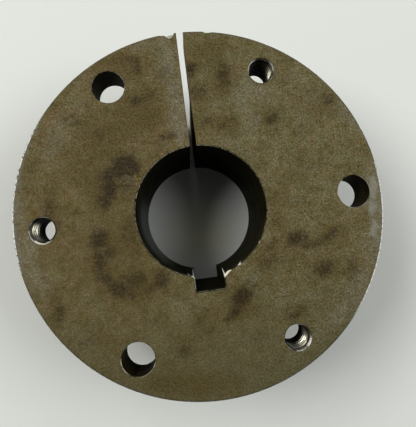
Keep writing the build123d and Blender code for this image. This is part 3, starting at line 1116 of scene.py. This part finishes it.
def side_material():
    """The rim, the flange's underside, the barrel and its foot: turned iron, greyer and duller."""
    n = Surface("iron_turned")
    normal = n.split(n.new("ShaderNodeNewGeometry").outputs["Normal"])
    lying = n.band(n.math("ABSOLUTE", normal["Z"]), 0.5, 0.9)
    across = n.plus(n.product(n.radius, lying), n.product(n.z, n.minus(1.0, lying)))
    along = n.vector("MULTIPLY", n.joined(n.x, n.y, across), (0.06, 0.06, 2.6))
    turned = n.noise(1.0, 2, 0.6, along, 1.0)
    lines = n.noise(3.0, 1, 0.5, along, 8.0)
    blotch = n.noise(0.14, 4, 0.6, None, 6.0)
    grain = n.noise(1.3, 3, 0.7, None, 3.0)
    n.colour = n.mix(n.band(blotch, 0.35, 0.65), (0.125, 0.108, 0.060), (0.072, 0.060, 0.032))
    n.paint(n.band(turned, 0.35, 0.75, 0.0, 0.6), (0.19, 0.175, 0.125))
    spots_brown = n.band(n.noise(0.45, 3, 0.65, None, 17.0), 0.60, 0.70, 0.0, 0.75)
    n.paint(spots_brown, (0.060, 0.038, 0.018))
    light = n.band(grain, 0.3, 0.7, 0.78, 1.22, False)
    n.paint(1.0, n.joined(light, light, light), "MULTIPLY")
    bright = n.product(n.band(n.attribute("worn"), 0.25, 0.8),
                       n.band(n.noise(0.6, 3, 0.7, None, 15.0), 0.36, 0.66))
    n.paint(bright, (0.31, 0.295, 0.24))
    n.paint(n.attribute("bare_and_glint"), (0.33, 0.31, 0.26))
    roughness = n.plus(0.40, n.product(blotch, 0.2))
    height = n.plus(n.product(lines, 0.7), n.product(grain, 0.3))
    normal = n.bump(height, 0.03, 0.6)
    return n.finish(roughness, normal, n.band(spots_brown, 0.0, 0.7, 0.5, 0.1), 0.4)


def cut_material():
    """The bore, the keyway and the slit: dark, smoother iron with fine tool marks and bright torn edges,
    with a painted reflection on the bore's left wall and a painted highlight on its mouth.
    """
    n = Surface("iron_cut")
    rings = n.noise(1.0, 3, 0.65, n.stretched(0.09, 1.7), 2.0)
    blotch = n.noise(0.25, 4, 0.6, None, 11.0)
    grain = n.noise(1.8, 2, 0.6, None, 13.0)
    n.colour = n.mix(n.band(blotch, 0.35, 0.7), (0.0112, 0.0096, 0.0022), (0.0034, 0.0028, 0.0007))
    # Painted reflection: a grey-green sheen on the bore's left wall, fading out towards the face
    sheen = n.product(n.toward(196.0, 46.0, 16.0), n.band(n.z, 30.0, 17.0),
                      n.band(rings, 0.34, 0.60, 0.5, 1.0))
    n.paint(sheen, (0.060, 0.069, 0.062))
    rusty = n.product(n.toward(-45.0, 37.0, 18.0), n.band(n.z, LENGTH - 6.0, LENGTH - 0.5),
                      n.band(n.noise(0.9, 3, 0.7, None, 33.0), 0.42, 0.62))
    n.paint(rusty, (0.060, 0.046, 0.020))
    sawn = n.product(n.band(n.math("ABSOLUTE", n.x), 1.0, 0.85), n.band(n.y, 15.5, 24.0))
    n.paint(sawn, (0.28, 0.23, 0.13))
    # Worn edges at the bore's ends, with a painted highlight that makes them brighter towards the upper left
    bright = n.product(n.band(n.attribute("worn"), 0.40, 0.8),
                       n.band(n.noise(1.6, 3, 0.75, None, 15.0), 0.40, 0.54),
                       n.toward(125.0, 80.0, 50.0, 0.25, 0.8))
    n.paint(bright, (0.34, 0.31, 0.22))
    torn = n.band(n.attribute("bare_and_glint"), 0.15, 0.85)
    n.paint(torn, (0.72, 0.69, 0.58))
    roughness = n.minus(n.plus(0.46, n.product(blotch, 0.2)), n.product(sheen, 0.25))
    normal = n.bump(n.plus(rings, n.product(grain, 0.4)), 0.03, 0.5)
    return n.finish(roughness, normal, n.product(torn, 0.3), 0.02)


def hole_material():
    """The plain screw holes: brown and nearly black inside, with a drill's faint rings and painted highlight
    arcs on their mouths.
    """
    n = Surface("iron_hole")
    rings = n.noise(1.0, 3, 0.65, n.stretched(0.3, 2.2), 2.0)
    blotch = n.noise(0.5, 4, 0.65, None, 11.0)
    n.colour = n.mix(n.band(blotch, 0.35, 0.7), (0.019, 0.0145, 0.0042), (0.0034, 0.0025, 0.0007))
    n.paint(n.band(rings, 0.45, 0.75, 0.0, 0.3), (0.030, 0.022, 0.007))
    bright = n.product(n.band(n.attribute("worn"), 0.3, 0.7),
                       n.band(n.noise(1.0, 3, 0.7, None, 25.0), 0.42, 0.60))
    n.paint(bright, (0.19, 0.17, 0.11))
    # Painted highlights in arcs on the mouths' edges
    n.paint(n.attribute("bare_and_glint"), (0.72, 0.70, 0.60))
    normal = n.bump(rings, 0.05, 0.6)
    return n.finish(0.6, normal, 0.0, 0.01)


def thread_material():
    """The tapped holes: painted highlights of bright metal on the upper flanks and in arcs of the mouth,
    nearly black below.
    """
    n = Surface("iron_thread")
    blotch = n.noise(0.5, 3, 0.6, None, 11.0)
    grain = n.noise(2.4, 2, 0.6, None, 3.0)
    worn = n.attribute("worn")
    n.colour = n.mix(n.band(blotch, 0.4, 0.65), (0.0045, 0.0038, 0.0020), (0.0012, 0.0010, 0.0006))
    # Painted highlight on the upward flanks, strongest in each hole's arcs and fading out further down
    flank = n.product(n.band(worn, 0.30, 0.5), n.band(n.z, LENGTH - 7.4, LENGTH - 4.6),
                      n.band(n.z, LENGTH - 1.0, LENGTH - 2.4, 0.25, 1.0),
                      n.band(blotch, 0.70, 0.50, 0.5, 1.0), n.band(n.attribute("bare_and_glint"), 0.0, 0.9, 0.10, 1.0))
    n.paint(flank, (0.38, 0.365, 0.28))
    mouth = n.band(worn, 0.55, 0.9)
    n.paint(mouth, (0.052, 0.048, 0.028))
    glint = n.product(mouth, n.attribute("bare_and_glint"), n.band(grain, 0.34, 0.50, 0.45, 1.0))
    n.paint(glint, (0.84, 0.82, 0.71))
    normal = n.bump(grain, 0.02, 0.2)
    metal = n.product(flank, n.minus(1.0, mouth), 0.95)
    return n.finish(n.band(flank, 0.0, 1.0, 0.5, 0.28), normal, metal, 0.03)


bushing = new_object("iron_bushing", build_bushing(), [
    face_material(), side_material(), cut_material(), hole_material(), thread_material(),
])
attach(bushing, "root")
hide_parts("bushing")


def add_floor():
    """A wide pale sheet under the part, tinted warmer under the bore as painted bounce light."""
    mesh = bpy.data.meshes.new("floor")
    half = 3.0
    corners = [(-half, -half, 0), (half, -half, 0), (half, half, 0), (-half, half, 0)]
    mesh.from_pydata(corners, [], [(0, 1, 2, 3)])
    n = Surface("pale_paper")
    cloud = n.noise(0.012, 3, 0.5, None, 3.0)
    fibre = n.noise(1.6, 2, 0.6, None, 9.0)
    n.colour = n.mix(cloud, (0.78, 0.80, 0.755), (0.80, 0.815, 0.775))
    # Painted bounce light: a warm tint on the floor inside the bore, as from its brown walls
    warm_bounce = n.band(n.vector("DISTANCE", n.place, (0.0, -4.0, 0.0)), 13.0, 3.0, 0.0, 0.8)
    n.paint(warm_bounce, (0.83, 0.83, 0.63))
    mesh.materials.append(n.finish(0.85, n.bump(fibre, 0.04, 0.3), 0.0, 0.2))
    floor = link_object("floor", mesh)


add_floor()


def add_light(name, azimuth, elevation, distance, size, power, colour):
    """A soft round lamp that points at the part. Azimuth is counted from +X towards +Y, in degrees."""
    lamp = bpy.data.lights.new(name, "AREA")
    lamp.shape = "DISK"
    lamp.size = size
    lamp.energy = power
    lamp.color = colour
    thing = link_object(name, lamp)
    a, e = radians(azimuth), radians(elevation)
    place = Vector((cos(e) * cos(a), cos(e) * sin(a), sin(e))) * distance
    thing.matrix_world = Matrix.Translation(place) @ (-place).to_track_quat("-Z", "Y").to_matrix().to_4x4()


add_light("main_light", 158, 52, 0.9, 0.42, 3.45, (1.0, 1.0, 0.98))
add_light("second_light", 0, 52, 0.9, 0.42, 1.97, (0.98, 1.0, 1.0))
add_light("third_light", 125, 40, 0.9, 0.42, 1.53, (1.0, 1.0, 0.98))
add_light("fourth_light", 30, 40, 0.9, 0.42, 0.98, (0.98, 1.0, 1.0))
add_light("slit_light", 90, 63, 0.9, 0.08, 0.025, (1.0, 0.98, 0.94))


# How bright the room's walls are at the height of a window: direction, strength
WALLS = (((1.0, 0.0, 0.0), 0.71), ((-1.0, 0.0, 0.0), 0.28), ((0.0, 1.0, 0.0), 0.86))


def add_world():
    """Light from the room's walls, none from above. What is seen near the horizon is a pale background."""
    world = bpy.data.worlds.new("room")
    world.use_nodes = True
    n = Nodes(world.node_tree)
    background = world.node_tree.nodes["Background"]
    toward = n.new("ShaderNodeTexCoord").outputs["Generated"]
    height = n.split(toward)["Z"]
    total = 0.0
    for direction, strength in WALLS:
        facing = n.math("MAXIMUM", n.vector("DOT_PRODUCT", toward, direction), 0.0)
        total = n.plus(total, n.product(facing, strength))
    rays = n.new("ShaderNodeLightPath").outputs
    seen = n.math("MAXIMUM", rays["Is Glossy Ray"], rays["Is Transmission Ray"])
    seen = n.product(n.math("MAXIMUM", rays["Is Camera Ray"], seen), n.band(height, 0.35, 0.30))
    n.put(n.mix(seen, (1.0, 1.0, 0.99), (0.78, 0.80, 0.755)), background.inputs["Color"])
    lit = n.product(total, n.band(height, 0.35, 0.75), n.minus(1.0, seen))
    n.put(n.math("MAXIMUM", lit, seen), background.inputs["Strength"])
    bpy.context.scene.world = world


add_world()

# The camera, from a fit of the part's known sizes to the outlines in the photograph
CAMERA_PLACE = Vector((-3.115, -6.191, 139.085)) * MM
CAMERA_LOOK = Vector((0.06183, 0.08641, -0.99434)).normalized()
CAMERA_UP = Vector((0.12182, 0.98814, 0.09345)).normalized()
IMAGE_WIDTH = 416
IMAGE_HEIGHT = 427
FOCAL_PIXELS = 486.36
CENTRE_PIXELS = (215.32, 194.63)


def add_camera():
    """The photograph's camera."""
    lens = bpy.data.cameras.new("camera")
    lens.sensor_width = 36
    lens.lens = FOCAL_PIXELS * lens.sensor_width / IMAGE_HEIGHT
    lens.shift_x = (IMAGE_WIDTH / 2 - CENTRE_PIXELS[0]) / IMAGE_HEIGHT
    lens.shift_y = (CENTRE_PIXELS[1] - IMAGE_HEIGHT / 2) / IMAGE_HEIGHT
    lens.clip_start = 0.005
    camera = link_object("camera", lens)
    right = CAMERA_LOOK.cross(CAMERA_UP).normalized()
    up = right.cross(CAMERA_LOOK)
    turn = Matrix((right, up, -CAMERA_LOOK)).transposed().to_4x4()
    camera.matrix_world = Matrix.Translation(CAMERA_PLACE) @ turn
    bpy.context.scene.camera = camera


add_camera()
bpy.context.scene.view_settings.view_transform = "Standard"
